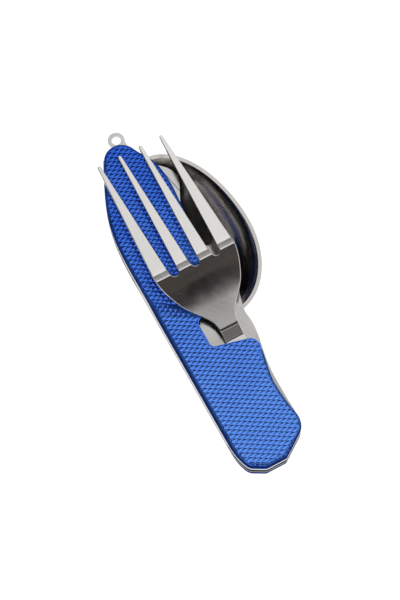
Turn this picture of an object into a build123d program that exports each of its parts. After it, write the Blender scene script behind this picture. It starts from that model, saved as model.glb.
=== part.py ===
"""Folding picnic cutlery: a fork, a spoon and a knife that fold on one handle made of two halves.

The fork half carries the fork, the knife and the lanyard eye. The spoon half carries the spoon and
the bottle opener, and it slides along the handle on two studs. Lengths are in millimetres.

X runs across the handle from its straight back, Y runs along the back from the pivot end to the
lanyard end, and Z stands on the plane halfway between the two handle plates. The finished pieces
are moved together at the end, so that the origin is under the middle of the folded cutlery.
"""

import os

from build123d import *

os.makedirs("parts", exist_ok=True)

# ---- driving dimensions -------------------------------------------------------------------------

# levels of one half, measured from the middle plane of the handle
GAP = 0.8                      # half of the knife gap
LINER = 1.0                    # thickness of each handle plate
SHEET = 1.0                    # thickness of the fork and of the spoon
WASHER = 0.2                   # washers under the fork and under the spoon
LINER_TOP = GAP + LINER
TANG = LINER_TOP + WASHER      # underside of the fork's tang
COVER = TANG + SHEET + 0.1     # underside of the cover over the tang
LOW_TOP = 4.3                  # outside of the handle scale at the pivot end
HIGH_TOP = 3.1                 # outside of the handle scale at the lanyard end
RAMP = 4.0                     # width of the slope between the two
EDGE_ROUND = 1.0
PLATE_PROUD = 0.3              # how far the plates stand out of the scales along the back

# handle
LENGTH = 111.3
PIVOT = (14.0, 13.0)           # fork and spoon turn here
KNIFE_PIVOT = (14.0, 103.0)
TANG_WALL = 7.4                # left wall of the space in which a tang turns
NOTCH_FLOOR = 39.0
EYE = (16.2, 112.9)            # lanyard eye
EYE_RADIUS = 2.6
EYE_HOLE = 1.45
EYE_NECK = 4.4                 # width of the plate where the eye leaves it

# fork
FORK_AXIS = 17.7
FORK_HALF_WIDTH = 13.4
FORK_TIP = 107.0
SLOT_FLOOR = 63.8
SLOT_PITCH = 7.0
SLOT_HALF_WIDTH = 1.4
TINE_TIP_PITCH = 7.1
TINE_TIP = 1.1

# spoon
SPOON_AXIS = 22.3
SPOON_WIDEST = 73.0            # Y of the widest section
SPOON_HALF_WIDTH = 18.2
SPOON_NOSE = 32.6
SPOON_HEEL = 25.0
SPOON_DEPTH = 7.5
SPOON_RIM = -3.8
BOWL_WALL = 0.9
BOWL_SLOPE = 0.4               # 0 makes the wall upright at the rim

# knife, held to the fork half
BLADE_TOP = 0.65
BLADE = 1.2

# pins and studs
PIVOT_PIN = 2.0
KNIFE_PIN = 1.5
RIVET = 0.9
PIN_FIT = 0.05                 # radial play of whatever turns on a pin
PRESS_FIT = 0.02               # play around what is riveted tight
STUD = 1.2
STUD_HEAD = 1.8
STUD_X = 3.4
STUD_Y = (22.0, 80.0)
SLIDE = 8.0                    # travel of the spoon half
RIVETS = ((3.6, 9.0), (3.6, 38.0), (4.2, 62.0), (18.5, 80.0), (8.6, 92.0))
BACKSPRING_RIVETS = ((3.2, 12.5), (3.2, 50.0))
SPRING_RIVET = (18.0, 7.0)
DETENT = (18.0, 13.0)
CATCH_RIVET = (7.6, 15.0)
CATCH = (7.6, 6.0)

pieces = {}


def disc(centre, radius, bottom, top):
    """An upright round bar between two levels."""
    with BuildPart() as bar:
        with BuildSketch(Plane.XY.offset(bottom)):
            with Locations(centre):
                Circle(radius)
        extrude(amount=top - bottom)
    return bar.part


def below(part):
    """The same piece on the spoon half, which is the other side of the middle plane."""
    return mirror(part, about=Plane.XY)


# ---- outlines -----------------------------------------------------------------------------------

def handle_outline(right_side, back_edge=0.0):
    """The closed outline of a scale or a plate. They differ on the right side and along the back."""
    with BuildSketch() as face:
        with BuildLine():
            foot = Line((12.8, 0), (6.8, 0))
            bevel = Spline(foot @ 1, (5.1, 0.6), (2.5, 2.1), tangents=((-1, 0), (-1, 0.65)))
            heel = Spline(bevel @ 1, (0.8, 4.8), (back_edge, 15), tangents=(bevel % 1, (0, 1)))
            back = Line(heel @ 1, (back_edge, 64))
            crown = Spline(
                back @ 1, (1.9, 91), (8.9, 107.2), (14.6, LENGTH),
                tangents=((0, 1), (1, 0)))
            brow = ThreePointArc(crown @ 1, (17.3, 110.4), (19.5, 107.7))
            shoulder = Spline(
                brow @ 1, (22.4, 102.6), (24.1, 94.8), (23.6, 84),
                tangents=(brow % 1, (-0.08, -1)))
            side = right_side(shoulder @ 1)
            toe = Spline(side @ 1, (21.9, 9.5), (20, 4.9), tangents=((0.1, -1), (-0.8, -0.6)))
            Line(toe @ 1, foot @ 0)
        make_face()
    return face.sketch


def notched_side(start):
    """Right side of a scale, with the notch in which the fork and the spoon step outward."""
    hidden = Spline(start, (20.5, 66), (10.7, 49.2), tangents=((-0.08, -1), (-1, -0.75)))
    corner = ThreePointArc(hidden @ 1, (9.9, 48.6), (9.6, 47.6))
    wall = Line(corner @ 1, (9.6, 41))
    fillet_arc = ThreePointArc(wall @ 1, (10.1, 40), (11.1, 39.6))
    floor = Line(fillet_arc @ 1, (20.4, 37.2))
    shoulder = ThreePointArc(floor @ 1, (22.2, 35.8), (22.6, 33.4))
    return Spline(
        shoulder @ 1, (20.8, 23), (21.2, 14),
        tangents=((-0.1, -1), (0.1, -1)))


def plain_side(start):
    """Right side of the fork half's plate, which runs past the notch."""
    return Spline(
        start, (22.0, 66), (23.2, 50), (24.4, 42), (22.7, 31), (21.9, 15),
        tangents=((-0.08, -1), (0, -1)))


def opener_side(start):
    """Right side of the spoon half's plate, with the hook of the bottle opener."""
    mouth = Spline(
        start, (23.3, 73.5), (25.0, 70.2), (27.4, 71.3), (29.0, 74.2),
        tangents=((-0.08, -1), (0.35, 1)))
    lip = ThreePointArc(mouth @ 1, (29.7, 74.0), (29.8, 73.2))
    return Spline(
        lip @ 1, (28.6, 60), (24.8, 48), (24.2, 41), (22.6, 31), (21.9, 15),
        tangents=((0, -1), (0, -1)))


def tang_space():
    """Plan of the space that a tang needs: open at the notch, the right side and the pivot end."""
    with BuildSketch() as plan:
        with BuildLine():
            Polyline(
                (TANG_WALL, -5), (40, -5), (40, 60), (14, 60), (9.6, 47), (9.6, NOTCH_FLOOR),
                (TANG_WALL, 32), close=True)
        make_face()
    return plan.sketch


def fork_outline():
    """Plan of the fork, from the eye of its tang to the four tips."""
    left = FORK_AXIS - FORK_HALF_WIDTH
    right = FORK_AXIS + FORK_HALF_WIDTH
    tip_reach = 1.5 * TINE_TIP_PITCH + TINE_TIP / 2
    with BuildSketch() as plan:
        with BuildLine():
            tang_left = Line((PIVOT[0] - 5.4, PIVOT[1] + 1.4), (14.1, 38.5))
            flare_left = Spline(
                tang_left @ 1, (13.4, 46.5), (7.4, 55.4), (left, 66),
                tangents=((0, 1), (0, 1)))
            tine_left = Line(flare_left @ 1, (FORK_AXIS - tip_reach, FORK_TIP))
            tips = Line(tine_left @ 1, (FORK_AXIS + tip_reach, FORK_TIP))
            tine_right = Line(tips @ 1, (right, 66))
            flare_right = Spline(
                tine_right @ 1, (28.0, 55.4), (21.2, 46.5), (20.3, 38.5),
                tangents=((0, -1), (0, -1)))
            tang_right = Line(flare_right @ 1, (PIVOT[0] + 5.4, PIVOT[1] - 1.0))
            ThreePointArc(tang_right @ 1, (PIVOT[0] - 0.7, PIVOT[1] - 5.5), tang_left @ 0)
        make_face()
        for number in (-1, 0, 1):
            root = FORK_AXIS + number * SLOT_PITCH
            end = FORK_AXIS + number * TINE_TIP_PITCH
            spread = (TINE_TIP_PITCH - TINE_TIP) / 2
            with BuildLine():
                floor = ThreePointArc(
                    (root - SLOT_HALF_WIDTH, SLOT_FLOOR + SLOT_HALF_WIDTH),
                    (root, SLOT_FLOOR),
                    (root + SLOT_HALF_WIDTH, SLOT_FLOOR + SLOT_HALF_WIDTH))
                Polyline(
                    floor @ 1, (end + spread, FORK_TIP + 0.1), (end - spread, FORK_TIP + 0.1),
                    floor @ 0)
            make_face(mode=Mode.SUBTRACT)
    return plan.sketch


def sheet_profile(course, bend_radii):
    """Side view of a bent sheet, drawn for the YZ plane. The course gives the underside's corners."""
    with BuildSketch() as profile:
        with BuildLine():
            FilletPolyline(*course, radius=bend_radii)
            offset(amount=SHEET, side=Side.LEFT)
        make_face()
    return profile.sketch


def half_egg(half_width, reach, depth, nose):
    """Half of an egg around the origin, on the +Y side for the nose and on the -Y side if not."""
    with BuildPart() as half:
        Sphere(1)
        with Locations((0, -2 if nose else 2, 0)):
            Box(4, 4, 4, mode=Mode.SUBTRACT)
        scale(by=(half_width, reach, depth))
    return half.part


def egg(wall):
    """The egg whose lower cap is the bowl of the spoon, made smaller by the wall."""
    spread = (1 - BOWL_SLOPE ** 2) ** 0.5
    half_width = SPOON_HALF_WIDTH / spread - wall
    depth = SPOON_DEPTH / (1 - BOWL_SLOPE) - wall
    with BuildPart() as solid:
        add(half_egg(half_width, SPOON_NOSE / spread - wall, depth, nose=True))
        add(half_egg(half_width, SPOON_HEEL / spread - wall, depth, nose=False))
    return solid.part


def scale_body():
    """A handle scale: thick over the pivot, thinner under the fork's head, hollow for the tang."""
    with BuildPart() as scale_part:
        with BuildSketch(Plane.XY.offset(LINER_TOP)):
            add(handle_outline(notched_side))
        extrude(amount=LOW_TOP - LINER_TOP)
        ramp = Plane(origin=(0, 57, 0), x_dir=(0.574, 0.819, 0), z_dir=(0.819, -0.574, 0))
        with BuildSketch(ramp):
            with BuildLine():
                Polyline(
                    (0, LOW_TOP), (RAMP, HIGH_TOP), (80, HIGH_TOP), (80, LOW_TOP + 1),
                    (0, LOW_TOP + 1), close=True)
            make_face()
        extrude(amount=60, both=True, mode=Mode.SUBTRACT)
        rim = scale_part.edges().filter_by_position(Axis.Z, HIGH_TOP - 0.05, LOW_TOP + 0.05)
        rim -= scale_part.edges().filter_by(Axis((0, 0, 0), tuple(ramp.z_dir)))
        notch = rim.filter_by_position(Axis.X, 9, 23).filter_by_position(Axis.Y, 33, 53)
        fillet(rim - notch, radius=EDGE_ROUND)
        with BuildSketch(Plane.XY.offset(LINER_TOP)):
            add(tang_space())
        extrude(amount=COVER - LINER_TOP, mode=Mode.SUBTRACT)
        add(disc(PIVOT, PIVOT_PIN + PRESS_FIT, COVER - 0.1, COVER + 0.65), mode=Mode.SUBTRACT)
        for spot in RIVETS:
            add(disc(spot, RIVET + PRESS_FIT, LINER_TOP, LINER_TOP + 0.85), mode=Mode.SUBTRACT)
    return scale_part.part


def plate_body(outline):
    """A handle plate with the holes that both plates have."""
    with BuildPart() as plate:
        with BuildSketch(Plane.XY.offset(GAP)):
            add(outline)
        extrude(amount=LINER)
        add(disc(PIVOT, PIVOT_PIN + PRESS_FIT, GAP, LINER_TOP), mode=Mode.SUBTRACT)
        add(disc(PIVOT, 3.0, GAP, GAP + 0.45), mode=Mode.SUBTRACT)
        add(disc(DETENT, 1.1, GAP, LINER_TOP), mode=Mode.SUBTRACT)
        for spot in RIVETS + (SPRING_RIVET,):
            add(disc(spot, RIVET + PRESS_FIT, GAP, LINER_TOP), mode=Mode.SUBTRACT)
    return plate.part


def pivot_rivet():
    """The rivet on which the fork or the spoon turns, flush with the inside of its plate."""
    with BuildPart() as rivet:
        add(disc(PIVOT, 2.9, GAP, GAP + 0.4))
        add(disc(PIVOT, PIVOT_PIN, GAP, COVER + 0.6))
    return rivet.part


def tang_washer():
    """The thin washer between a plate and a tang."""
    with BuildPart() as washer:
        add(disc(PIVOT, 3.0, LINER_TOP + 0.02, TANG - 0.02))
        add(disc(PIVOT, PIVOT_PIN + PIN_FIT, LINER_TOP, TANG), mode=Mode.SUBTRACT)
    return washer.part


def detent_spring():
    """The leaf whose bump clicks into the tang when it is fully folded or fully open."""
    middle = ((SPRING_RIVET[0] + DETENT[0]) / 2, (SPRING_RIVET[1] + DETENT[1]) / 2)
    length = DETENT[1] - SPRING_RIVET[1]
    with BuildPart() as leaf:
        with BuildSketch(Plane.XY.offset(GAP - 0.4)):
            with Locations(middle):
                SlotCenterToCenter(length, 2.8, rotation=90)
        extrude(amount=0.4)
        add(disc(DETENT, 0.8, GAP, LINER_TOP - 0.1))
        fillet(leaf.faces().sort_by(Axis.Z)[-1].edges(), 0.35)
        add(disc(SPRING_RIVET, RIVET + PRESS_FIT, 0, LINER_TOP), mode=Mode.SUBTRACT)
    return leaf.part


def scale_rivets():
    """The rivets that hold a scale and a detent spring to a plate."""
    with BuildPart() as rivets:
        for spot in RIVETS:
            add(disc(spot, RIVET, GAP, LINER_TOP + 0.8))
        add(disc(SPRING_RIVET, RIVET, GAP - 0.4, LINER_TOP - 0.05))
    return rivets.part


# ---- the fork half ------------------------------------------------------------------------------

with BuildPart() as fork_side_scale:
    add(scale_body())
    add(disc(KNIFE_PIVOT, KNIFE_PIN + PRESS_FIT, LINER_TOP, LINER_TOP + 0.65), mode=Mode.SUBTRACT)
    for stud_y in STUD_Y:
        add(disc((STUD_X, stud_y), STUD + PRESS_FIT, LINER_TOP, LINER_TOP + 0.65), mode=Mode.SUBTRACT)
pieces["fork_side_scale"] = fork_side_scale

with BuildPart() as fork_side_liner:
    add(plate_body(handle_outline(plain_side, -PLATE_PROUD)))
    with BuildSketch(Plane.XY.offset(GAP)):
        with Locations(EYE):
            Circle(EYE_RADIUS)
        with Locations((EYE[0], EYE[1] - 3)):
            Rectangle(EYE_NECK, 6)
    extrude(amount=LINER)
    add(disc(EYE, EYE_HOLE, 0, 2 * LINER_TOP), mode=Mode.SUBTRACT)
    add(disc(KNIFE_PIVOT, KNIFE_PIN + PRESS_FIT, GAP, LINER_TOP), mode=Mode.SUBTRACT)
    for stud_y in STUD_Y:
        add(disc((STUD_X, stud_y), STUD + PRESS_FIT, GAP, LINER_TOP), mode=Mode.SUBTRACT)
    for spot in BACKSPRING_RIVETS:
        add(disc(spot, RIVET + PRESS_FIT, GAP, LINER_TOP), mode=Mode.SUBTRACT)
    add(disc(CATCH, 1.2, GAP, LINER_TOP), mode=Mode.SUBTRACT)
pieces["fork_side_liner"] = fork_side_liner

with BuildPart() as fork_pivot_rivet:
    add(pivot_rivet())
pieces["fork_pivot_rivet"] = fork_pivot_rivet

with BuildPart() as fork_detent_spring:
    add(detent_spring())
pieces["fork_detent_spring"] = fork_detent_spring

with BuildPart() as fork_scale_rivets:
    add(scale_rivets())
pieces["fork_scale_rivets"] = fork_scale_rivets

with BuildPart() as knife_backspring:
    with BuildSketch(Plane.XY.offset(-GAP + 0.1)):
        with BuildLine():
            inner = Line((5.6, 9.5), (5.6, 84))
            nose = Spline(inner @ 1, (6.2, 90), (7.4, 95.2), tangents=((0, 1), (0.3, 1)))
            tip = Line(nose @ 1, (3.4, 95.2))
            bow = Spline(tip @ 1, (0.9, 82), (-PLATE_PROUD, 64), tangents=((-0.3, -1), (0, -1)))
            back = Line(bow @ 1, (-PLATE_PROUD, 13))
            heel = Line(back @ 1, (0.4, 9.5))
            Line(heel @ 1, inner @ 0)
        make_face()
    extrude(amount=2 * GAP - 0.1)
    for stud_y in STUD_Y:
        add(disc((STUD_X, stud_y), STUD + PRESS_FIT, -GAP, GAP), mode=Mode.SUBTRACT)
    for spot in BACKSPRING_RIVETS:
        add(disc(spot, RIVET + PRESS_FIT, -GAP, GAP), mode=Mode.SUBTRACT)
pieces["knife_backspring"] = knife_backspring

with BuildPart() as backspring_rivets:
    for spot in BACKSPRING_RIVETS:
        add(disc(spot, RIVET, -GAP + 0.1, LINER_TOP))
pieces["backspring_rivets"] = backspring_rivets

with BuildPart() as coupling_studs:
    for stud_y in STUD_Y:
        add(disc((STUD_X, stud_y), STUD, -LINER_TOP - 0.2, LINER_TOP + 0.6))
        add(disc((STUD_X, stud_y), STUD_HEAD, -LINER_TOP - 0.65, -LINER_TOP - 0.1))
pieces["coupling_studs"] = coupling_studs

with BuildPart() as knife_pivot_rivet:
    add(disc(KNIFE_PIVOT, 2.6, BLADE_TOP - BLADE, BLADE_TOP - BLADE + 0.4))
    add(disc(KNIFE_PIVOT, KNIFE_PIN, BLADE_TOP - BLADE, LINER_TOP + 0.6))
pieces["knife_pivot_rivet"] = knife_pivot_rivet

# ---- the fork -----------------------------------------------------------------------------------

FORK_COURSE = (
    (PIVOT[1] - 8, TANG), (40, TANG), (43, 3.85), (54.5, 4.3), (64.8, 6.35), (70.5, 5.45),
    (FORK_TIP + 1, 3.65))
FORK_BENDS = (4, 4, 40, 12, 60)

with BuildPart() as fork:
    with BuildSketch(Plane.YZ):
        add(sheet_profile(FORK_COURSE, FORK_BENDS))
    extrude(amount=45)
    with BuildSketch():
        add(fork_outline())
    extrude(amount=20, mode=Mode.INTERSECT)
    add(disc(PIVOT, PIVOT_PIN + PIN_FIT, 0, 10), mode=Mode.SUBTRACT)
    for side in (-1, 1):
        dimple = (PIVOT[0] + side * (DETENT[0] - PIVOT[0]), PIVOT[1])
        add(disc(dimple, 0.9, TANG, TANG + 0.3), mode=Mode.SUBTRACT)
pieces["fork"] = fork

with BuildPart() as fork_pivot_washer:
    add(tang_washer())
pieces["fork_pivot_washer"] = fork_pivot_washer

# ---- the knife ----------------------------------------------------------------------------------

with BuildPart() as knife_blade:
    with BuildSketch(Plane.XY.offset(BLADE_TOP - BLADE)):
        with BuildLine():
            kick = Polyline((9.2, 101.5), (8.4, 106.8), (9.6, 109.2))
            heel_arc = ThreePointArc(kick @ 1, (15.2, 108.6), (19.3, 104.4))
            hump = Spline(
                heel_arc @ 1, (24.2, 99.6), (27.3, 94), (26.0, 90.2), (23.2, 84),
                tangents=((0.4, -1), (-0.3, -1)))
            spine = Spline(hump @ 1, (22.2, 60), (20.4, 34), (17.6, 23), tangents=((-0.3, -1), (-0.5, -1)))
            belly = Spline(spine @ 1, (10.6, 33), (7.6, 50), tangents=((-1, 0.8), (0, 1)))
            edge = Line(belly @ 1, (7.6, 91))
            choil = ThreePointArc(edge @ 1, (8.8, 92.4), (10.2, 91.6))
            Spline(choil @ 1, (10.2, 96), kick @ 0, tangents=((0, 1), (-0.1, 1)))
        make_face()
    extrude(amount=BLADE)
    add(disc(KNIFE_PIVOT, KNIFE_PIN + PIN_FIT, -GAP, GAP), mode=Mode.SUBTRACT)
    add(disc(KNIFE_PIVOT, 2.7, BLADE_TOP - BLADE, BLADE_TOP - BLADE + 0.5), mode=Mode.SUBTRACT)
    with BuildSketch(Plane.XY.offset(BLADE_TOP - 0.4)):
        with Locations((23.4, 93)):
            SlotOverall(13, 3.2, rotation=101)
    extrude(amount=0.4, mode=Mode.SUBTRACT)
    for side in (0, 1):
        bevel = Plane.XZ.offset(-20)
        with BuildSketch(bevel):
            face_level = BLADE_TOP if side else BLADE_TOP - BLADE
            away = 1 if side else -1
            with BuildLine():
                Polyline(
                    (7.0, face_level - away * 0.5), (12.5, face_level), (12.5, face_level + away),
                    (7.0, face_level + away), close=True)
            make_face()
        extrude(amount=-70, mode=Mode.SUBTRACT)
pieces["knife_blade"] = knife_blade

with BuildPart() as knife_pivot_washer:
    add(disc(KNIFE_PIVOT, 3.2, BLADE_TOP + 0.02, GAP - 0.02))
    add(disc(KNIFE_PIVOT, KNIFE_PIN + PIN_FIT, 0, GAP), mode=Mode.SUBTRACT)
pieces["knife_pivot_washer"] = knife_pivot_washer

# ---- the spoon half -----------------------------------------------------------------------------


def keyhole(stud_y, slot_radius, hole_radius, bottom, top):
    """The path of one stud: a slot, and a round hole at its end where the head comes out."""
    with BuildPart() as path:
        with BuildSketch(Plane.XY.offset(bottom)):
            with Locations((STUD_X, stud_y - SLIDE / 2)):
                SlotCenterToCenter(SLIDE, 2 * slot_radius, rotation=90)
            with Locations((STUD_X, stud_y - SLIDE)):
                Circle(hole_radius)
        extrude(amount=top - bottom)
    return path.part


with BuildPart() as spoon_side_scale:
    add(below(scale_body()))
    for stud_y in STUD_Y:
        add(keyhole(stud_y, 2.05, 2.05, -LINER_TOP - 0.8, -LINER_TOP), mode=Mode.SUBTRACT)
pieces["spoon_side_scale"] = spoon_side_scale

with BuildPart() as spoon_side_liner:
    add(below(plate_body(handle_outline(opener_side, -PLATE_PROUD))))
    for stud_y in STUD_Y:
        add(keyhole(stud_y, STUD + 0.1, 2.05, -LINER_TOP, -GAP), mode=Mode.SUBTRACT)
    add(disc(CATCH_RIVET, RIVET + PRESS_FIT, -LINER_TOP, -GAP), mode=Mode.SUBTRACT)
pieces["spoon_side_liner"] = spoon_side_liner

with BuildPart() as spoon_pivot_rivet:
    add(below(pivot_rivet()))
pieces["spoon_pivot_rivet"] = spoon_pivot_rivet

with BuildPart() as spoon_detent_spring:
    add(below(detent_spring()))
pieces["spoon_detent_spring"] = spoon_detent_spring

with BuildPart() as spoon_scale_rivets:
    add(below(scale_rivets()))
pieces["spoon_scale_rivets"] = spoon_scale_rivets

with BuildPart() as slide_catch:
    with BuildSketch(Plane.XY.offset(-GAP)):
        with Locations((CATCH[0], (CATCH[1] + CATCH_RIVET[1]) / 2)):
            SlotCenterToCenter(CATCH_RIVET[1] - CATCH[1], 2.6, rotation=90)
    extrude(amount=0.4)
    add(disc(CATCH, 0.9, -GAP, GAP - 0.1))
    fillet(slide_catch.faces().sort_by(Axis.Z)[-1].edges(), 0.4)
    add(disc(CATCH_RIVET, RIVET + PRESS_FIT, -GAP, GAP), mode=Mode.SUBTRACT)
pieces["slide_catch"] = slide_catch

with BuildPart() as slide_catch_rivet:
    add(disc(CATCH_RIVET, RIVET, -LINER_TOP + 0.05, -GAP + 0.4))
pieces["slide_catch_rivet"] = slide_catch_rivet

# ---- the spoon ----------------------------------------------------------------------------------

SPOON_COURSE = ((PIVOT[1] - 8, TANG), (40, TANG), (43.2, 3.85), (53.5, 4.0))
SPOON_BENDS = (4, 4)


def spoon_shank():
    """The tang and neck of the spoon, as seen from above the fork half."""
    with BuildPart() as shank:
        with BuildSketch(Plane.YZ):
            add(sheet_profile(SPOON_COURSE, SPOON_BENDS))
        extrude(amount=45)
        with BuildSketch():
            with BuildLine():
                left_edge = Line((PIVOT[0] - 5.4, PIVOT[1] + 1.4), (15.6, 38.5))
                left_neck = Spline(left_edge @ 1, (17.6, 46), (17.2, 53), tangents=((0.2, 1), (-0.6, 1)))
                across = Line(left_neck @ 1, (27.4, 53))
                right_neck = Spline(across @ 1, (24.0, 46), (21.9, 38.5), tangents=((-0.6, -1), (-0.2, -1)))
                right_edge = Line(right_neck @ 1, (PIVOT[0] + 5.4, PIVOT[1] - 1.0))
                ThreePointArc(right_edge @ 1, (PIVOT[0] - 0.7, PIVOT[1] - 5.5), left_edge @ 0)
            make_face()
        extrude(amount=20, mode=Mode.INTERSECT)
    return shank.part


with BuildPart() as spoon:
    centre = (SPOON_AXIS, SPOON_WIDEST, SPOON_RIM + SPOON_DEPTH * BOWL_SLOPE / (1 - BOWL_SLOPE))
    with Locations(centre):
        add(egg(0))
    with Locations((SPOON_AXIS, SPOON_WIDEST, SPOON_RIM + 20)):
        Box(80, 100, 40, mode=Mode.SUBTRACT)
    add(below(spoon_shank()))
    with Locations(centre):
        add(egg(BOWL_WALL), mode=Mode.SUBTRACT)
    add(disc(PIVOT, PIVOT_PIN + PIN_FIT, -10, 0), mode=Mode.SUBTRACT)
    for side in (-1, 1):
        dimple = (PIVOT[0] + side * (DETENT[0] - PIVOT[0]), PIVOT[1])
        add(disc(dimple, 0.9, -TANG - 0.3, -TANG), mode=Mode.SUBTRACT)
pieces["spoon"] = spoon

with BuildPart() as spoon_pivot_washer:
    add(below(tang_washer()))
pieces["spoon_pivot_washer"] = spoon_pivot_washer

# ---- put the origin under the middle of the folded cutlery ----------------------------------------

whole = Compound([piece.part for piece in pieces.values()]).bounding_box()
SHIFT = Location((-whole.center().X, -whole.center().Y, -whole.min.Z))

for name, piece in pieces.items():
    placed = piece.part.moved(SHIFT)
    placed.label = name
    export_step(placed, f"parts/{name}.step")
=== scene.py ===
"""The looks of the folding picnic cutlery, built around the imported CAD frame. Lengths are in metres."""

import math

import bmesh
import bpy
import numpy as np
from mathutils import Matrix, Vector
from mathutils.bvhtree import BVHTree
from mathutils.geometry import delaunay_2d_cdt
from mathutils.kdtree import KDTree


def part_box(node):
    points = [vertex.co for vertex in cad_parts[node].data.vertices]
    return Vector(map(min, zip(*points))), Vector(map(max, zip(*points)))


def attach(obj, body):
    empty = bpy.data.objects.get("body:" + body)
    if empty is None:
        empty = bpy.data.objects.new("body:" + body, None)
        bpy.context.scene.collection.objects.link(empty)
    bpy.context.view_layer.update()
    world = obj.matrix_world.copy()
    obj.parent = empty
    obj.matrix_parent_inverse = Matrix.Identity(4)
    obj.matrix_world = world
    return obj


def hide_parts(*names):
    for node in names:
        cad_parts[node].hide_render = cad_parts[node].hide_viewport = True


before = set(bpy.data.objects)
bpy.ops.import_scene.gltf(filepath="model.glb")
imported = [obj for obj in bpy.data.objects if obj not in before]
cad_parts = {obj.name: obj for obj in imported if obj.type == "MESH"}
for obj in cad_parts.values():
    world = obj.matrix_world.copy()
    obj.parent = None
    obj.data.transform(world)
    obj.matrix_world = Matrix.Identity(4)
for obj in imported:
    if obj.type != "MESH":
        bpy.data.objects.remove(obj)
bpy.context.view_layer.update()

MM = 0.001

# the camera, as the photograph was taken
CAMERA_AZIMUTH = math.radians(-28.6)
CAMERA_ELEVATION = math.radians(71.0)
CAMERA_DISTANCE = 0.75
CAMERA_LENS = 150.0
LOOK_AT = Vector((-5.8, -1.9, 11.3)) * MM

# the studio that the metal reflects
# each dark patch: its middle, the cosines where it ends and where it is full, and what is left there
CEILING_PATCH = Vector((0.10, -0.10, 1.0)).normalized()
DARK_PATCHES = (
    (CEILING_PATCH, 0.926, 0.967, 0.0),
    (Vector((-0.46, 0.36, 0.81)).normalized(), 0.83, 0.88, 0.0),
    (Vector((0.10, -0.80, 0.60)).normalized(), 0.87, 0.92, 0.15))
PATCH_MIDDLE = (0.990, 0.998)  # the ceiling's dark patch is a little paler between these cosines
# the dark band round the walls begins and ends at these upward parts of the direction
LOW_BAND_BOTTOM = (0.13, 0.17)
LOW_BAND_TOP = (0.48, 0.53)
LOW_BAND_PALE = 0.75           # the brightness below the band
WALL_TONE = (0.010, 0.010, 0.011)
LAMP_TONE = (0.080, 0.069, 0.061)
FLOOR_HALF = 3.0
FLOOR_GLOW = 0.93
KEY_PLACE = (-0.5, -0.6, 0.75)
KEY_SIZE = 0.5
KEY_POWER = 7.0

# the embossed points of the scales
POINT_HALF_WIDTH = 1.33 * MM   # across the handle
POINT_HALF_LENGTH = 0.80 * MM  # along the handle
POINT_HEIGHT = 0.37 * MM
POINT_STEPS = 6                # mesh divisions along one side of a point
POINT_FOOT = 0.12              # the part of the height that is level round each point
SINK = 0.05 * MM               # how deep the sheet of points dips into the scale at its edge
STEEPEST = 0.72                # least upright part of the normal where the points still stand
DEEPEST_FACE = 1.6 * MM        # the outer face lies no deeper than this below a scale's highest level
PLAIN_MARGIN = 0.10 * MM       # the border of the face where there are no points
MARGIN_BLEND = 0.35 * MM       # the run over which they reach their full height
FAR_ABOVE = 100 * MM           # where the rays start that look for the face
RIM_SPACING = 0.1 * MM         # how closely the outline of the face is sampled

# the fork in millimetres from the handle's heel, except where a length has its unit
PIVOT = (14.0, 13.0)
PIVOT_HOLE = 2.05
SHEET = 1.0 * MM
FORK_AXIS = 17.7
FORK_HALF_WIDTH = 13.4
FORK_TIP = 107.0
SLOT_FLOOR = 63.8
SLOT_PITCH = 7.0
SLOT_HALF_WIDTH = 1.4
TINE_TIP_PITCH = 7.1
TINE_TIP = 1.1
# how steeply the fork climbs along the handle: (millimetres from the heel, degrees)
FORK_SLOPES = (
    (0, 0), (39.4, 0), (40.1, 30), (41.2, 33), (42.3, 28), (43.5, 1.6), (51.5, 2.6), (55, 4.6),
    (60, 8.4), (62, 13.5), (64.5, 12.5), (64.9, 0), (65.15, -20.9), (67.0, -21.6), (68.4, -2),
    (108, -1.8))
# the mesh of the fork: how far apart its points are, and the rows where it bends and needs more
MESH_STEP = 0.6 * MM
FINE_STEP = 0.15 * MM
FINE_ROWS = ((39.0, 44.0), (63.8, 69.2))
LEAST_GAP = 0.12 * MM              # from the points of the edge to the others
OUTLINE_STEP = 0.25 * MM
OUTLINE_SOFTENING = 6
EDGE_ROUNDING = 0.22 * MM
ROUNDING_STEPS = 5
FLAT_RING = 1.35                   # where the level ring inside the rounding lies, in roundings
SLOPE_REACH = 0.02 * MM            # how far apart two heights are that give a slope
HEIGHT_STEPS = 1200                # along the fork
# the head is dished: its sides follow the slopes this much further on, and this much lower
DISH_AHEAD = 2.4 * MM
DISH_DROP = 0.3 * MM
DISH_START = (-18 * MM, -8 * MM)   # from the floor of the slots
DISH_END = (-7 * MM, 1.2 * MM)     # likewise

# the face's blue from deep to pale; where a spot lies between them is painted light along the handle plus
# a cloudy tone
BLUE_FACE_DEEP = (0.032, 0.130, 0.70)
BLUE_FACE_PALE = (0.125, 0.320, 1.0)
# painted shade: the darker blue given to the scales' plain sides
BLUE_SIDE_PAINTED_SHADE = (0.006, 0.022, 0.13)
BLUE_EDGE_TINT = (0.10, 0.25, 0.85)
# the black of the darkened plates: painted shade on the fork plate's underside, and the spoon plate's
# darker edges
PLATE_DARKENING_BLACK = (0.04, 0.04, 0.04)
PLATE_TINT = (0.68, 0.67, 0.65)


# ---- mesh helpers ---------------------------------------------------------------------------------

def new_piece(name, verts, faces, smooth=True):
    """A mesh object in the scene."""
    mesh = bpy.data.meshes.new(name)
    mesh.from_pydata([tuple(v) for v in verts], [], faces)
    mesh.update()
    if smooth:
        mesh.shade_smooth()
    piece = bpy.data.objects.new(name, mesh)
    bpy.context.scene.collection.objects.link(piece)
    return piece


def welded(node):
    """A bmesh of a CAD node with its seams closed."""
    solid = bmesh.new()
    solid.from_mesh(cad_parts[node].data)
    bmesh.ops.remove_doubles(solid, verts=solid.verts, dist=1e-6)
    solid.normal_update()
    return solid


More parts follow.
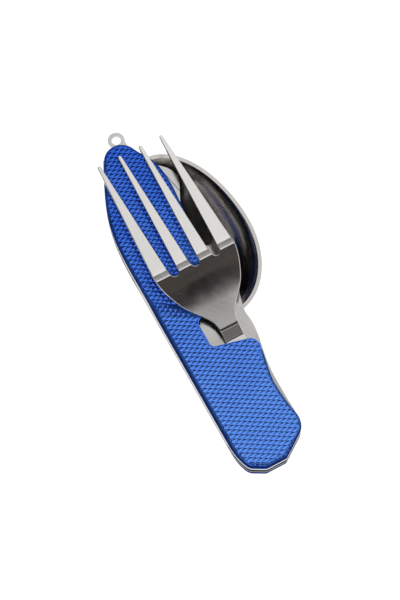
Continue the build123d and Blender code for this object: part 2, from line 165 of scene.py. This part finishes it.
def curve_through(points, start_run, end_run, steps=24):
    """A smooth run of plan points through a few given ones, with the runs it starts and ends on."""
    points = np.array(points, float)
    runs = np.empty_like(points)
    runs[1:-1] = (points[2:] - points[:-2]) / 2
    for end, run in ((0, start_run), (-1, end_run)):
        reach = np.hypot(*(points[1] - points[0] if end == 0 else points[-1] - points[-2]))
        runs[end] = np.array(run, float) / np.hypot(*run) * reach
    t = np.linspace(0, 1, steps, endpoint=False)[:, None]
    made = []
    for here, there, leave, arrive in zip(points, points[1:], runs, runs[1:]):
        made.append(
            (2 * t ** 3 - 3 * t ** 2 + 1) * here + (t ** 3 - 2 * t ** 2 + t) * leave
            + (3 * t ** 2 - 2 * t ** 3) * there + (t ** 3 - t ** 2) * arrive)
    return np.vstack(made + [points[-1:]])


def arc_points(centre, radius, start, end, steps=24):
    """Points on an arc between two angles in degrees."""
    angles = np.radians(np.linspace(start, end, steps))
    return np.stack([centre[0] + radius * np.cos(angles), centre[1] + radius * np.sin(angles)], 1)


def on_handle(plan):
    """Plan points measured in millimetres from the heel of the handle, placed in the frame."""
    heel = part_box("fork_side_scale")[0]
    return np.asarray(plan) * MM + np.array([heel.x, heel.y])


def even_loop(loop, step, smoothing):
    """A plan outline with evenly spaced points and slightly softened corners."""
    closed = np.vstack([loop, loop[:1]])
    lengths = np.hypot(*np.diff(closed, axis=0).T)
    along = np.concatenate([[0], np.cumsum(lengths)])
    count = int(along[-1] / step)
    spots = np.linspace(0, along[-1], count, endpoint=False)
    even = np.stack([np.interp(spots, along, closed[:, axis]) for axis in (0, 1)], 1)
    for _ in range(smoothing):
        even = 0.5 * even + 0.25 * (np.roll(even, 1, 0) + np.roll(even, -1, 0))
    return even


def signed_area(loop):
    """The area of a closed outline, positive when it runs anticlockwise."""
    onward = np.roll(loop, -1, 0)
    return 0.5 * np.sum(loop[:, 0] * onward[:, 1] - onward[:, 0] * loop[:, 1])


def inward(loop, inside_is_left):
    """Unit vectors from the points of a closed outline towards its material."""
    run = np.roll(loop, -1, 0) - np.roll(loop, 1, 0)
    run /= np.hypot(*run.T)[:, None]
    left = np.stack([-run[:, 1], run[:, 0]], 1)
    return left if inside_is_left else -left


def inside(points, loops):
    """Even-odd test of plan points against closed outlines."""
    result = np.zeros(len(points), bool)
    for loop in loops:
        start, end = loop, np.roll(loop, -1, 0)
        for (x0, y0), (x1, y1) in zip(start, end):
            if y0 == y1:
                continue
            crosses = (points[:, 1] < max(y0, y1)) & (points[:, 1] >= min(y0, y1))
            result ^= crosses & (points[:, 0] < x0 + (points[:, 1] - y0) * (x1 - x0) / (y1 - y0))
    return result


def rounded_sheet(name, loops, top, thickness, rounding, columns, rows):
    """A sheet with rounded edges whose upper face follows top(x, y).

    The first loop is its outline and the others are holes. Columns and rows are where its faces have
    points, and each point's normal is worked out from top(x, y), not from the faces round it.
    """
    angles = np.radians(np.linspace(0, 90, ROUNDING_STEPS))
    profile = [(rounding * (1 - math.cos(a)), rounding * (1 - math.sin(a)), a) for a in angles]
    profile.append((FLAT_RING * rounding, 0.0, angles[-1]))
    verts, normals, faces, inner_loops, inner_ids = [], [], [], [], []

    def add_points(spots, towards, drop, angle, under):
        height = top(spots[:, 0], spots[:, 1]) - (thickness - drop if under else drop)
        rise = surface_normals(top, spots) * (-1 if under else 1)
        outward = np.hstack([-towards, np.zeros((len(spots), 1))])
        first = len(verts)
        verts.extend(zip(spots[:, 0], spots[:, 1], height))
        normals.extend(math.cos(angle) * outward + math.sin(angle) * rise)
        return range(first, len(verts))

    for number, loop in enumerate(loops):
        if signed_area(loop) < 0:
            loop = loop[::-1]
        towards = inward(loop, inside_is_left=number == 0)
        rings = [add_points(loop + towards * reach, towards, drop, angle, under)
                 for under in (False, True)
                 for reach, drop, angle in (profile if under else profile[::-1])]
        for upper, lower in zip(rings, rings[1:]):
            for i in range(len(loop)):
                j = (i + 1) % len(loop)
                quad = (upper[i], lower[i], lower[j], upper[j])
                faces.append(quad if number == 0 else quad[::-1])
        inner_loops.append(loop + towards * profile[-1][0])
        inner_ids.append((rings[0], rings[-1]))
    border = np.vstack(inner_loops)
    field = np.stack(np.meshgrid(columns, rows), -1).reshape(-1, 2)
    field = field[inside(field, inner_loops)]
    near = KDTree(len(border))
    for index, spot in enumerate(border):
        near.insert((*spot, 0), index)
    near.balance()
    field = np.array([spot for spot in field if near.find((*spot, 0))[2] > LEAST_GAP])
    constraints, first = [], 0
    for loop in inner_loops:
        constraints += [(first + i, first + (i + 1) % len(loop)) for i in range(len(loop))]
        first += len(loop)
    plan = [Vector(spot) for spot in np.vstack([border, field])]
    spots, _, triangles, origins, _, _ = delaunay_2d_cdt(plan, constraints, [], 0, 1e-9)
    flat = np.array([spot.to_tuple() for spot in spots])
    centres = np.array([flat[list(t)].mean(0) for t in triangles])
    kept = [t for t, keep in zip(triangles, inside(centres, inner_loops)) if keep]
    for under in (False, True):
        ids = {}
        ring_ids = [index for ends in inner_ids for index in ends[under]]
        sources = [origin[0] if origin else first for origin in origins]
        between = [index for index, source in enumerate(sources) if source >= first]
        places = flat[between]
        ids.update(zip(between, add_points(places, np.zeros_like(places), 0.0, angles[-1], under)))
        ids.update((index, ring_ids[source]) for index, source in enumerate(sources) if source < first)
        for t in kept:
            corners = [ids[i] for i in t]
            faces.append(corners[::-1] if under else corners)
    piece = new_piece(name, verts, faces)
    piece.data.normals_split_custom_set_from_vertices([tuple(n) for n in normals])
    return piece


def surface_normals(top, spots):
    """Unit normals of the surface top(x, y) at plan points."""
    x, y = spots[:, 0], spots[:, 1]
    reach = SLOPE_REACH
    along_x = (top(x + reach, y) - top(x - reach, y)) / (2 * reach)
    along_y = (top(x, y + reach) - top(x, y - reach)) / (2 * reach)
    normals = np.stack([-along_x, -along_y, np.ones(len(spots))], 1)
    return normals / np.linalg.norm(normals, axis=1)[:, None]


# ---- materials ------------------------------------------------------------------------------------

def node_material(name):
    """A new material with its node tree and its shader."""
    material = bpy.data.materials.new(name)
    material.use_nodes = True
    tree = material.node_tree
    shader = tree.nodes["Principled BSDF"]
    return material, tree, shader


def object_coords(tree, stretch=(1, 1, 1)):
    """The piece's own coordinates, stretched."""
    coords = tree.nodes.new("ShaderNodeTexCoord")
    mapping = tree.nodes.new("ShaderNodeMapping")
    mapping.inputs["Scale"].default_value = stretch
    tree.links.new(coords.outputs["Object"], mapping.inputs["Vector"])
    return mapping.outputs["Vector"]


def noise(tree, vector, scale, detail, rough):
    """A noise from 0 to 1."""
    texture = tree.nodes.new("ShaderNodeTexNoise")
    texture.inputs["Scale"].default_value = scale
    texture.inputs["Detail"].default_value = detail
    texture.inputs["Roughness"].default_value = rough
    tree.links.new(vector, texture.inputs["Vector"])
    return texture.outputs["Fac"]


def remap(tree, value, low, high, from_low=0.3, from_high=0.7):
    """A value that goes from low to high while the given one passes the two limits."""
    node = tree.nodes.new("ShaderNodeMapRange")
    node.inputs["From Min"].default_value = from_low
    node.inputs["From Max"].default_value = from_high
    node.inputs["To Min"].default_value = low
    node.inputs["To Max"].default_value = high
    tree.links.new(value, node.inputs["Value"])
    return node.outputs["Result"]


def combined(tree, operation, first, second):
    """A Math node of two values."""
    node = tree.nodes.new("ShaderNodeMath")
    node.operation = operation
    tree.links.new(first, node.inputs[0])
    tree.links.new(second, node.inputs[1])
    return node.outputs["Value"]


def multiply_add(tree, value, factor, added):
    """The value times a number, plus another value."""
    node = tree.nodes.new("ShaderNodeMath")
    node.operation = "MULTIPLY_ADD"
    node.inputs[1].default_value = factor
    tree.links.new(value, node.inputs[0])
    tree.links.new(added, node.inputs[2])
    return node.outputs["Value"]


def mix_colors(tree, factor, first, second):
    """The first colour where the factor is 0 and the second where it is 1; either may be a socket."""
    node = tree.nodes.new("ShaderNodeMix")
    node.data_type = "RGBA"
    for color, end in ((first, node.inputs["A"]), (second, node.inputs["B"])):
        if isinstance(color, tuple):
            end.default_value = (*color, 1)
        else:
            tree.links.new(color, end)
    tree.links.new(factor, node.inputs["Factor"])
    return node.outputs["Result"]


def bump(tree, height, strength, distance):
    """A normal bent by a height."""
    node = tree.nodes.new("ShaderNodeBump")
    node.inputs["Strength"].default_value = strength
    node.inputs["Distance"].default_value = distance
    tree.links.new(height, node.inputs["Height"])
    return node.outputs["Normal"]


def scratch_lines(tree, angle, scale):
    """Thin lines at an angle to the handle: 0 on plain metal and 1 in a scratch."""
    coords = tree.nodes.new("ShaderNodeTexCoord")
    turned = tree.nodes.new("ShaderNodeMapping")
    turned.inputs["Rotation"].default_value = (0, 0, angle)
    tree.links.new(coords.outputs["Object"], turned.inputs["Vector"])
    drawn = tree.nodes.new("ShaderNodeMapping")
    drawn.inputs["Scale"].default_value = (1, 0.035, 1)
    tree.links.new(turned.outputs["Vector"], drawn.inputs["Vector"])
    return remap(tree, noise(tree, drawn.outputs["Vector"], scale, 1.0, 0.4), 0, 1, 0.66, 0.70)


def steel(name, tint, roughness, brushing, scratches, spread=0.06):
    """Steel with fine brushing along the handle, hairline scratches and cloudy wear."""
    material, tree, shader = node_material(name)
    shader.inputs["Metallic"].default_value = 1.0
    grain = noise(tree, object_coords(tree, (9.0, 0.35, 9.0)), 500.0, 4.0, 0.6)
    cloud = noise(tree, object_coords(tree, (1.0, 0.6, 1.0)), 160.0, 5.0, 0.65)
    lines = combined(
        tree, "MAXIMUM", scratch_lines(tree, 0.4, 2600.0), scratch_lines(tree, -0.7, 2100.0))
    depth = 0.4 * scratches
    rough = remap(
        tree, multiply_add(tree, lines, depth, cloud), roughness - spread, roughness + spread)
    tree.links.new(rough, shader.inputs["Roughness"])
    dark = tuple(0.93 * part for part in tint)
    tree.links.new(mix_colors(tree, remap(tree, cloud, 0, 1), dark, tint), shader.inputs["Base Color"])
    relief = multiply_add(tree, lines, -depth, grain)
    tree.links.new(bump(tree, relief, brushing, 0.03 * MM), shader.inputs["Normal"])
    return material


def upright_part(tree, squared):
    """The upward part of the surface's own normal, or its square."""
    geometry = tree.nodes.new("ShaderNodeNewGeometry")
    facing = tree.nodes.new("ShaderNodeSeparateXYZ")
    tree.links.new(geometry.outputs["True Normal"], facing.inputs["Vector"])
    upward = facing.outputs["Z"]
    return combined(tree, "MULTIPLY", upward, upward) if squared else upward


def blackened(material, squared, black, plain):
    """Darkens a plate by the upward part of its normal, black to plain: painted shade on the fork plate's
    underside, and darker edges on the spoon plate.
    """
    tree = material.node_tree
    shader = tree.nodes["Principled BSDF"]
    factor = remap(tree, upright_part(tree, squared), 0, 1, black, plain)
    steel_color = shader.inputs["Base Color"].links[0].from_socket
    tree.links.new(mix_colors(tree, factor, PLATE_DARKENING_BLACK, steel_color), shader.inputs["Base Color"])


def blue_metal(name):
    """Blue anodised metal, with painted shade on its plain sides and painted light that leaves the face
    paler towards the heel and deeper towards the eye, over a cloudy tone.
    """
    material, tree, shader = node_material(name)
    shader.inputs["Specular Tint"].default_value = (*BLUE_EDGE_TINT, 1)
    shader.inputs["Specular IOR Level"].default_value = 0.0
    upright = upright_part(tree, squared=True)
    tree.links.new(remap(tree, upright, 0.15, 0.9, 0.45, 0.75), shader.inputs["Metallic"])
    cloud = noise(tree, object_coords(tree), 60.0, 4.0, 0.6)
    fine = noise(tree, object_coords(tree), 4200.0, 2.0, 0.5)
    along = tree.nodes.new("ShaderNodeSeparateXYZ")
    tree.links.new(object_coords(tree), along.inputs["Vector"])
    # painted light: the face is paler towards the heel and deeper towards the eye, standing in for how it
    # reflects the studio; the cloud adds a random tone
    painted_light_and_tone = combined(
        tree, "ADD", remap(tree, along.outputs["Y"], 0.85, 0.0, -0.040, 0.030),
        remap(tree, cloud, 0.0, 0.3))
    face = mix_colors(tree, painted_light_and_tone, BLUE_FACE_DEEP, BLUE_FACE_PALE)
    # painted shade: surfaces that are less upright, the plain sides, get the darker side blue
    color = mix_colors(tree, remap(tree, upright, 0, 1, 0.45, 0.75), BLUE_SIDE_PAINTED_SHADE, face)
    tree.links.new(color, shader.inputs["Base Color"])
    tree.links.new(remap(tree, fine, 0.13, 0.22), shader.inputs["Roughness"])
    tree.links.new(bump(tree, fine, 0.12, 0.02 * MM), shader.inputs["Normal"])
    return material


# ---- the scales -----------------------------------------------------------------------------------

def emboss(node, outward, body, material):
    """The sheet of points on the outer face of a scale, drawn into it at the plain margin."""
    solid = welded(node)
    hit = BVHTree.FromBMesh(solid)
    outer = {f for f in solid.faces if f.normal.z * outward > STEEPEST}
    rim = [e for e in solid.edges if sum(f in outer for f in e.link_faces) == 1]
    floor = max(v.co.z * outward for v in solid.verts) - DEEPEST_FACE
    rim = [e for e in rim if max(v.co.z * outward for v in e.verts) > floor]
    samples = []
    for edge in rim:
        start, end = (v.co for v in edge.verts)
        count = max(2, int((end - start).length / RIM_SPACING))
        samples += [start.lerp(end, i / count).to_2d() for i in range(count)]
    tree = KDTree(len(samples))
    for index, spot in enumerate(samples):
        tree.insert((*spot, 0), index)
    tree.balance()
    low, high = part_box(node)
    verts, index_of, faces = [], {}, []
    step_a = Vector((POINT_HALF_WIDTH, POINT_HALF_LENGTH)) / POINT_STEPS
    step_b = Vector((POINT_HALF_WIDTH, -POINT_HALF_LENGTH)) / POINT_STEPS
    reach = int(1.2 * (high - low).length / POINT_HALF_LENGTH / 2) * POINT_STEPS
    middle = ((low + high) / 2).to_2d()

    def vertex(a, b):
        if (a, b) in index_of:
            return index_of[a, b]
        spot = middle + a * step_a + b * step_b
        index_of[a, b] = None
        if low.x < spot.x < high.x and low.y < spot.y < high.y:
            above = Vector((*spot, outward * FAR_ABOVE))
            place, normal, _, _ = hit.ray_cast(above, Vector((0, 0, -outward)))
            if place is not None and abs(normal.z) > STEEPEST and place.z * outward > floor:
                margin = tree.find((*spot, 0))[2]
                blend = min(max((margin - PLAIN_MARGIN) / MARGIN_BLEND, 0), 1)
                blend = blend * blend * (3 - 2 * blend)
                pa = (a / POINT_STEPS) % 1 - 0.5
                pb = (b / POINT_STEPS) % 1 - 0.5
                corner = 1 - 2 * max(abs(pa), abs(pb))  # 1 at the tip of the point and 0 at its foot
                shape = POINT_FOOT + (1 - POINT_FOOT) * corner
                rise = POINT_HEIGHT * shape * blend - SINK * (1 - blend)
                index_of[a, b] = len(verts)
                verts.append((spot.x, spot.y, place.z + outward * rise))
        return index_of[a, b]

    for a in range(-reach, reach):
        for b in range(-reach, reach):
            spot = middle + a * step_a + b * step_b
            if not (low.x < spot.x < high.x and low.y < spot.y < high.y):
                continue
            corners = [vertex(a, b), vertex(a + 1, b), vertex(a + 1, b + 1), vertex(a, b + 1)]
            if None not in corners:
                faces.append(corners if outward < 0 else corners[::-1])
    solid.free()
    piece = new_piece(node + "_points", verts, faces, smooth=False)
    piece.data.materials.append(material)
    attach(piece, body)


def fork_outlines():
    """Plan of the fork: its outer edge and the hole for its rivet."""
    left, right = FORK_AXIS - FORK_HALF_WIDTH, FORK_AXIS + FORK_HALF_WIDTH
    spread = (TINE_TIP_PITCH - TINE_TIP) / 2
    outline = [
        arc_points(PIVOT, 5.5, 165, 350),
        curve_through([(20.3, 38.5), (21.2, 46.5), (28.0, 55.4), (right, 66)], (0, 1), (0, 1)),
        [(FORK_AXIS + 1.5 * TINE_TIP_PITCH + TINE_TIP / 2, FORK_TIP)],
    ]
    for number in (1, 0, -1):
        root = (FORK_AXIS + number * SLOT_PITCH, SLOT_FLOOR + SLOT_HALF_WIDTH)
        end = FORK_AXIS + number * TINE_TIP_PITCH
        outline += [
            [(end + spread, FORK_TIP)], arc_points(root, SLOT_HALF_WIDTH, 0, -180),
            [(end - spread, FORK_TIP)]]
    outline += [
        [(FORK_AXIS - 1.5 * TINE_TIP_PITCH - TINE_TIP / 2, FORK_TIP)],
        curve_through([(left, 66), (7.4, 55.4), (13.4, 46.5), (14.1, 38.5)], (0, -1), (0, -1)),
    ]
    hole = arc_points(PIVOT, PIVOT_HOLE, 0, 360, 40)[:-1]
    return [on_handle(np.vstack(outline)), on_handle(hole)]


def make_fork(material):
    """The fork as pressed sheet: rounded edges, and a head that is dished across as well as along."""
    tang_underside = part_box("fork")[0].z
    heel_y = on_handle([0, 0])[1]
    rows = np.linspace(0, FORK_TIP + 1, HEIGHT_STEPS)
    slopes = np.tan(np.radians(np.interp(rows, *zip(*FORK_SLOPES))))
    levels = tang_underside + MM * (SHEET / MM + np.cumsum(slopes) * (rows[1] - rows[0]))
    axis, slot_floor = on_handle([FORK_AXIS, SLOT_FLOOR])

    def top(x, y):
        across = ((x - axis) / (FORK_HALF_WIDTH * MM)) ** 2
        dish = across * smooth_step(y - slot_floor, *DISH_START)
        dish *= 1 - smooth_step(y - slot_floor, *DISH_END)
        return np.interp((y + DISH_AHEAD * dish - heel_y) / MM, rows, levels) - DISH_DROP * dish

    outlines = [even_loop(loop, OUTLINE_STEP, OUTLINE_SOFTENING) for loop in fork_outlines()]
    low, high = outlines[0].min(0), outlines[0].max(0)
    fine = [np.arange(heel_y + start * MM, heel_y + end * MM, FINE_STEP) for start, end in FINE_ROWS]
    mesh_rows = np.sort(np.hstack(fine + [np.arange(low[1], high[1], MESH_STEP)]))
    columns = np.arange(low[0], high[0], MESH_STEP)
    piece = rounded_sheet("fork_sheet", outlines, top, SHEET, EDGE_ROUNDING, columns, mesh_rows)
    piece.data.materials.append(material)
    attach(piece, "fork")
    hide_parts("fork")


def smooth_step(value, start, end):
    """0 before the start, 1 after the end, and a smooth rise between."""
    t = np.clip((value - start) / (end - start), 0, 1)
    return t * t * (3 - 2 * t)


# ---- stage ----------------------------------------------------------------------------------------

def make_camera():
    """The camera at the photograph's angle."""
    data = bpy.data.cameras.new("camera")
    data.lens = CAMERA_LENS
    data.clip_start = 0.01
    camera = bpy.data.objects.new("camera", data)
    away = Vector((
        math.sin(CAMERA_AZIMUTH) * math.cos(CAMERA_ELEVATION),
        -math.cos(CAMERA_AZIMUTH) * math.cos(CAMERA_ELEVATION),
        math.sin(CAMERA_ELEVATION)))
    camera.location = LOOK_AT + away * CAMERA_DISTANCE
    camera.rotation_euler = (-away).to_track_quat("-Z", "Y").to_euler()
    bpy.context.scene.collection.objects.link(camera)
    bpy.context.scene.camera = camera


def area_light(name, place, size, power):
    """A soft light that points at the origin and doesn't show in the steel."""
    data = bpy.data.lights.new(name, "AREA")
    data.size = size
    data.energy = power
    light = bpy.data.objects.new(name, data)
    light.visible_glossy = False
    light.location = place
    light.rotation_euler = (-Vector(place)).to_track_quat("-Z", "Y").to_euler()
    bpy.context.scene.collection.objects.link(light)


def make_floor():
    """A plain pale floor that glows a little, so that it stays white in the steel."""
    corners = [(x * FLOOR_HALF, y * FLOOR_HALF, 0) for x, y in ((-1, -1), (1, -1), (1, 1), (-1, 1))]
    floor = new_piece("floor", corners, [(0, 1, 2, 3)])
    material, _, shader = node_material("floor")
    shader.inputs["Base Color"].default_value = (0.3, 0.3, 0.3, 1)
    shader.inputs["Roughness"].default_value = 0.9
    shader.inputs["Emission Color"].default_value = (1, 1, 1, 1)
    shader.inputs["Emission Strength"].default_value = FLOOR_GLOW
    floor.data.materials.append(material)


def around(tree, direction, centre, outer, full, left=0.0):
    """1 outside a round patch of the studio, and what is left in it."""
    dot = tree.nodes.new("ShaderNodeVectorMath")
    dot.operation = "DOT_PRODUCT"
    dot.inputs[1].default_value = centre
    tree.links.new(direction, dot.inputs[0])
    return remap(tree, dot.outputs["Value"], 1.0, left, outer, full)


def make_world():
    """A white ceiling with dark patches, dark walls, and a pale band low down."""
    bpy.context.scene.view_settings.view_transform = "Standard"
    world = bpy.data.worlds.new("studio")
    bpy.context.scene.world = world
    world.use_nodes = True
    tree = world.node_tree
    background = tree.nodes["Background"]
    background.inputs["Strength"].default_value = 1.0
    direction = tree.nodes.new("ShaderNodeTexCoord").outputs["Generated"]
    split = tree.nodes.new("ShaderNodeSeparateXYZ")
    tree.links.new(direction, split.inputs["Vector"])
    ceiling = remap(tree, split.outputs["Z"], 0.0, 1.0, *LOW_BAND_TOP)
    for patch in DARK_PATCHES:
        ceiling = combined(tree, "MULTIPLY", ceiling, around(tree, direction, *patch))
    low = remap(tree, split.outputs["Z"], LOW_BAND_PALE, 0.0, *LOW_BAND_BOTTOM)
    light = combined(tree, "ADD", ceiling, low)
    clutter = remap(tree, noise(tree, direction, 5.0, 3.0, 0.6), 0, 1, 0.52, 0.68)
    lamp = combined(
        tree, "SUBTRACT", remap(tree, clutter, 1.0, 1.6, 0.0, 1.0),
        around(tree, direction, CEILING_PATCH, *PATCH_MIDDLE))
    dark = mix_colors(tree, lamp, WALL_TONE, LAMP_TONE)
    tree.links.new(mix_colors(tree, light, dark, (1.0, 1.0, 1.0)), background.inputs["Color"])


# ---- put it together ------------------------------------------------------------------------------

make_camera()
make_floor()
make_world()
area_light("key", KEY_PLACE, KEY_SIZE, KEY_POWER)

blue = blue_metal("blue_lacquer")
satin = steel("satin_steel", (0.78, 0.76, 0.74), 0.15, 0.2, 0.5, 0.03)
mirror = steel("polished_steel", (0.60, 0.57, 0.54), 0.12, 0.25, 0.4, 0.05)
plate, fork_plate, spoon_plate = (
    steel(name, PLATE_TINT, 0.20, 0.15, 0.2)
    for name in ("plate_steel", "fork_plate_steel", "spoon_plate_steel"))
blackened(fork_plate, squared=False, black=-0.9, plain=-0.5)  # painted shade on its underside, which faces the gap between the plates
blackened(spoon_plate, squared=True, black=0.1, plain=0.5)    # its edges
dull = steel("spring_steel", (0.42, 0.42, 0.42), 0.38, 0.3, 0.1)
brass = steel("bronze", (0.62, 0.43, 0.2), 0.3, 0.2, 0.1)

finishes = {
    "fork_side_scale": blue, "spoon_side_scale": blue, "fork": satin, "spoon": mirror,
    "fork_side_liner": fork_plate, "spoon_side_liner": spoon_plate, "knife_blade": plate,
    "fork_pivot_washer": brass, "spoon_pivot_washer": brass, "knife_pivot_washer": brass,
}
for name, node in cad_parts.items():
    node.data.materials.clear()
    node.data.materials.append(finishes.get(name, dull))

make_fork(satin)
emboss("fork_side_scale", 1, "fork_half", blue)
emboss("spoon_side_scale", -1, "spoon_half", blue)
